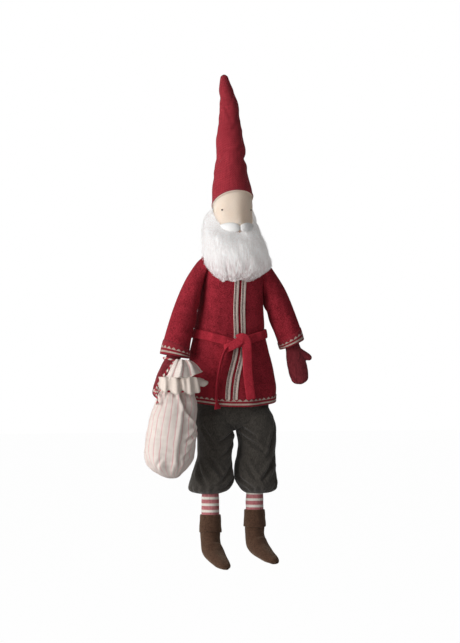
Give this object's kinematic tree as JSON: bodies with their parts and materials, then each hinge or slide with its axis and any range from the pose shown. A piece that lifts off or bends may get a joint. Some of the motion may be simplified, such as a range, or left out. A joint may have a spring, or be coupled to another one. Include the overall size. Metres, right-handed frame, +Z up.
{
  "type": "santa figure",
  "caption": "Tall cloth Santa doll with a long pointed hat, fleece beard, belted tunic, gathered trousers and a drawstring sack; arms, legs and sack swing.",
  "frame": {"origin": "tip of the hat, where the doll hangs", "axes": "+Z up, the front faces -Y, the arm that holds the sack is at -X"},
  "size_m": [0.2434, 0.101, 0.6608],
  "materials": {
    "red_wool": "boiled wool, matt, short fuzz",
    "red_linen": "plain woven linen, matt",
    "mitten_knit": "fine knit, matt",
    "skin_cotton": "smooth cotton jersey",
    "white_fleece": "combed wool fleece, long fibres",
    "white_felt": "smooth felt",
    "grey_braid": "woven braid with cream edges",
    "trim_braid": "embroidered zigzag trim",
    "charcoal_cotton": "brushed cotton, gathered",
    "striped_jersey": "striped cotton jersey",
    "brown_suede": "suede, matt",
    "striped_linen": "linen with thin pink stripes",
    "twine": "twisted red and cream cotton twine",
    "dark_thread": "embroidered dot",
    "pink_thread": "stitched thread",
    "wadding": "polyester wadding in cotton",
    "elastic": "flat elastic"
  },
  "bodies": {
    "torso": {"torso_stuffing": "wadding", "tunic": "red_wool", "hem_trim": "trim_braid", "placket_braid_right": "grey_braid", "placket_braid_left": "grey_braid", "belt_band": "red_wool", "belt_knot": "red_wool", "belt_tail_left": "red_wool", "belt_tail_right": "red_wool", "trouser_seat": "charcoal_cotton", "head": "skin_cotton", "eye_right": "dark_thread", "eye_left": "dark_thread", "mouth_stitch": "pink_thread", "moustache_right": "white_felt", "moustache_left": "white_felt", "beard": "white_fleece", "hair": "white_fleece", "hat": "red_linen", "hat_wadding": "wadding"},
    "arm_right": {"sleeve_right": "red_wool", "cuff_trim_right": "trim_braid", "mitten_right": "mitten_knit", "arm_stuffed_right": "wadding", "wrist_loop": "twine"},
    "arm_left": {"sleeve_left": "red_wool", "cuff_trim_left": "trim_braid", "mitten_left": "mitten_knit", "arm_stuffed_left": "wadding"},
    "leg_right": {"leg_stuffed_right": "striped_jersey", "trouser_leg_right": "charcoal_cotton", "hem_elastic_right": "elastic", "boot_right": "brown_suede", "boot_cuff_right": "brown_suede"},
    "leg_left": {"leg_stuffed_left": "striped_jersey", "trouser_leg_left": "charcoal_cotton", "hem_elastic_left": "elastic", "boot_left": "brown_suede", "boot_cuff_left": "brown_suede"},
    "sack": {"sack_cloth": "striped_linen", "sack_filling": "wadding", "sack_frill": "striped_linen", "drawstring_winding": "twine", "drawstring_knot": "twine", "drawstring_strand_outer": "twine", "drawstring_strand_inner": "twine", "drawstring_tail": "twine", "drawstring_end_knot": "twine"}
  },
  "joints": [
    {"name": "shoulder_right_swing", "type": "hinge", "parent": "torso", "child": "arm_right", "pos_m": [-0.0305, -0.0075, -0.267], "axis": [-1, 0, 0], "range_deg": [0, 75]},
    {"name": "shoulder_left_swing", "type": "hinge", "parent": "torso", "child": "arm_left", "pos_m": [0.0495, -0.0075, -0.267], "axis": [-1, 0, 0], "range_deg": [-20, 90]},
    {"name": "hip_right_swing", "type": "hinge", "parent": "torso", "child": "leg_right", "pos_m": [-0.0215, -0.0075, -0.474], "axis": [-1, 0, 0], "range_deg": [-15, 90]},
    {"name": "hip_left_swing", "type": "hinge", "parent": "torso", "child": "leg_left", "pos_m": [0.0405, -0.0075, -0.474], "axis": [-1, 0, 0], "range_deg": [-15, 90]},
    {"name": "sack_swing", "type": "hinge", "parent": "arm_right", "child": "sack", "pos_m": [-0.0785, -0.0265, -0.385], "axis": [-1, 0, 0], "range_deg": [0, 50]}
  ]
}
